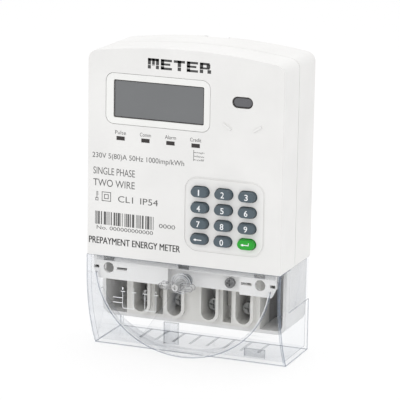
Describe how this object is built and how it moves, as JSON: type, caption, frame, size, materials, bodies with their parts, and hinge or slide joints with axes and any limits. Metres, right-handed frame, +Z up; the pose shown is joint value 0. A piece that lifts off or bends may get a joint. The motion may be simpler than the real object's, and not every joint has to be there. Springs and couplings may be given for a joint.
{
  "type": "prepaid electricity meter",
  "caption": "Wall-mounted keypad prepaid electricity meter with arched white case, display, optical port and clear sealed terminal cover.",
  "frame": {"origin": "wall plane, midway between the two lower fixing holes", "axes": "+X to the right seen from the front, +Y towards the wall, +Z up"},
  "size_m": [0.12, 0.0628, 0.1823],
  "materials": {
    "case_white": "fine satin texture, warm white",
    "hanger_white": "satin",
    "bezel_white": "smooth printed lens",
    "window_grey": "clear window over a dark display",
    "port_lens": "dark infrared lens",
    "indicator_lens": "dark smoked lens",
    "block_grey": "moulded phenolic, light grey",
    "clear_cover": "clear polycarbonate",
    "gasket": "soft",
    "rubber_grey": "silicone",
    "key_slate": "satin silicone key",
    "key_green": "satin silicone key",
    "brass": "machined",
    "copper": "tinned copper strip",
    "screw_steel": "zinc plated steel",
    "dark_steel": "blackened steel",
    "board_green": "solder resist",
    "lcd_glass": "polarised glass, switched off",
    "frame_white": "diffuser",
    "print_dark": "pad printed ink",
    "print_white": "printed ink",
    "led_red": "tinted epoxy",
    "black_plastic": "moulded",
    "battery_green": "sleeve",
    "capacitor_blue": "sleeve",
    "capacitor_yellow": "boxed film capacitor"
  },
  "bodies": {
    "meter": {"base_case": "case_white", "front_case": "case_white", "case_skirt": "case_white", "case_gasket": "gasket", "case_screw": "dark_steel", "display_bezel": "bezel_white", "display_window": "window_grey", "optical_port_lens": "port_lens", "light_pipes": "indicator_lens", "terminal_block": "block_grey", "terminal_shroud": "block_grey", "screw_insert": "brass", "aux_terminals": "brass", "main_board": "board_green", "board_screws": "screw_steel", "lcd_glass": "lcd_glass", "lcd_frame": "frame_white", "board_leds": "led_red", "ir_pair": "port_lens", "buzzer": "black_plastic", "battery": "battery_green", "supercapacitor": "capacitor_blue", "relay": "black_plastic", "film_capacitor": "capacitor_yellow", "varistor": "capacitor_blue", "metering_chips": "black_plastic", "line_in_busbar": "copper", "line_out_busbar": "copper", "neutral_busbar": "copper", "key_mat": "rubber_grey", "terminal_1": "brass", "terminal_2": "brass", "terminal_3": "brass", "terminal_4": "brass"},
    "cover": {"terminal_cover": "clear_cover"},
    "seal_screw": {"seal_screw": "screw_steel", "seal_wings": "clear_cover"},
    "hanger": {"hanger_plate": "hanger_white"},
    "key_1": {"key_1": "key_slate"},
    "key_2": {"key_2": "key_slate"},
    "key_3": {"key_3": "key_slate"},
    "key_4": {"key_4": "key_slate"},
    "key_5": {"key_5": "key_slate"},
    "key_6": {"key_6": "key_slate"},
    "key_7": {"key_7": "key_slate"},
    "key_8": {"key_8": "key_slate"},
    "key_9": {"key_9": "key_slate"},
    "key_back": {"key_back": "key_slate"},
    "key_0": {"key_0": "key_slate"},
    "key_enter": {"key_enter": "key_green"},
    "clamp_screw_1a": {"clamp_screw_1a": "screw_steel"},
    "clamp_screw_1b": {"clamp_screw_1b": "screw_steel"},
    "clamp_screw_2a": {"clamp_screw_2a": "screw_steel"},
    "clamp_screw_2b": {"clamp_screw_2b": "screw_steel"},
    "clamp_screw_3a": {"clamp_screw_3a": "screw_steel"},
    "clamp_screw_3b": {"clamp_screw_3b": "screw_steel"},
    "clamp_screw_4a": {"clamp_screw_4a": "screw_steel"},
    "clamp_screw_4b": {"clamp_screw_4b": "screw_steel"}
  },
  "joints": [
    {"name": "cover_slide", "type": "slide", "parent": "meter", "child": "cover", "axis": [0, -1, 0], "range_m": [0, 0.055]},
    {"name": "seal_screw_turn", "type": "hinge", "parent": "cover", "child": "seal_screw", "pos_m": [0, -0.05, -0.0035], "axis": [0, 1, 0], "continuous": true},
    {"name": "hanger_slide", "type": "slide", "parent": "meter", "child": "hanger", "axis": [0, 0, 1], "range_m": [0, 0.012]},
    {"name": "key_1_press", "type": "slide", "parent": "meter", "child": "key_1", "axis": [0, 1, 0], "range_m": [0, 0.0012], "stiffness_N_per_m": 1000},
    {"name": "key_2_press", "type": "slide", "parent": "meter", "child": "key_2", "axis": [0, 1, 0], "range_m": [0, 0.0012], "stiffness_N_per_m": 1000},
    {"name": "key_3_press", "type": "slide", "parent": "meter", "child": "key_3", "axis": [0, 1, 0], "range_m": [0, 0.0012], "stiffness_N_per_m": 1000},
    {"name": "key_4_press", "type": "slide", "parent": "meter", "child": "key_4", "axis": [0, 1, 0], "range_m": [0, 0.0012], "stiffness_N_per_m": 1000},
    {"name": "key_5_press", "type": "slide", "parent": "meter", "child": "key_5", "axis": [0, 1, 0], "range_m": [0, 0.0012], "stiffness_N_per_m": 1000},
    {"name": "key_6_press", "type": "slide", "parent": "meter", "child": "key_6", "axis": [0, 1, 0], "range_m": [0, 0.0012], "stiffness_N_per_m": 1000},
    {"name": "key_7_press", "type": "slide", "parent": "meter", "child": "key_7", "axis": [0, 1, 0], "range_m": [0, 0.0012], "stiffness_N_per_m": 1000},
    {"name": "key_8_press", "type": "slide", "parent": "meter", "child": "key_8", "axis": [0, 1, 0], "range_m": [0, 0.0012], "stiffness_N_per_m": 1000},
    {"name": "key_9_press", "type": "slide", "parent": "meter", "child": "key_9", "axis": [0, 1, 0], "range_m": [0, 0.0012], "stiffness_N_per_m": 1000},
    {"name": "key_back_press", "type": "slide", "parent": "meter", "child": "key_back", "axis": [0, 1, 0], "range_m": [0, 0.0012], "stiffness_N_per_m": 1000},
    {"name": "key_0_press", "type": "slide", "parent": "meter", "child": "key_0", "axis": [0, 1, 0], "range_m": [0, 0.0012], "stiffness_N_per_m": 1000},
    {"name": "key_enter_press", "type": "slide", "parent": "meter", "child": "key_enter", "axis": [0, 1, 0], "range_m": [0, 0.0012], "stiffness_N_per_m": 1000},
    {"name": "clamp_screw_1a_drive", "type": "slide", "parent": "meter", "child": "clamp_screw_1a", "axis": [0, 1, 0], "range_m": [0, 0.0055]},
    {"name": "clamp_screw_1b_drive", "type": "slide", "parent": "meter", "child": "clamp_screw_1b", "axis": [0, 1, 0], "range_m": [0, 0.0055]},
    {"name": "clamp_screw_2a_drive", "type": "slide", "parent": "meter", "child": "clamp_screw_2a", "axis": [0, 1, 0], "range_m": [0, 0.0055]},
    {"name": "clamp_screw_2b_drive", "type": "slide", "parent": "meter", "child": "clamp_screw_2b", "axis": [0, 1, 0], "range_m": [0, 0.0055]},
    {"name": "clamp_screw_3a_drive", "type": "slide", "parent": "meter", "child": "clamp_screw_3a", "axis": [0, 1, 0], "range_m": [0, 0.0055]},
    {"name": "clamp_screw_3b_drive", "type": "slide", "parent": "meter", "child": "clamp_screw_3b", "axis": [0, 1, 0], "range_m": [0, 0.0055]},
    {"name": "clamp_screw_4a_drive", "type": "slide", "parent": "meter", "child": "clamp_screw_4a", "axis": [0, 1, 0], "range_m": [0, 0.0055]},
    {"name": "clamp_screw_4b_drive", "type": "slide", "parent": "meter", "child": "clamp_screw_4b", "axis": [0, 1, 0], "range_m": [0, 0.0055]}
  ]
}
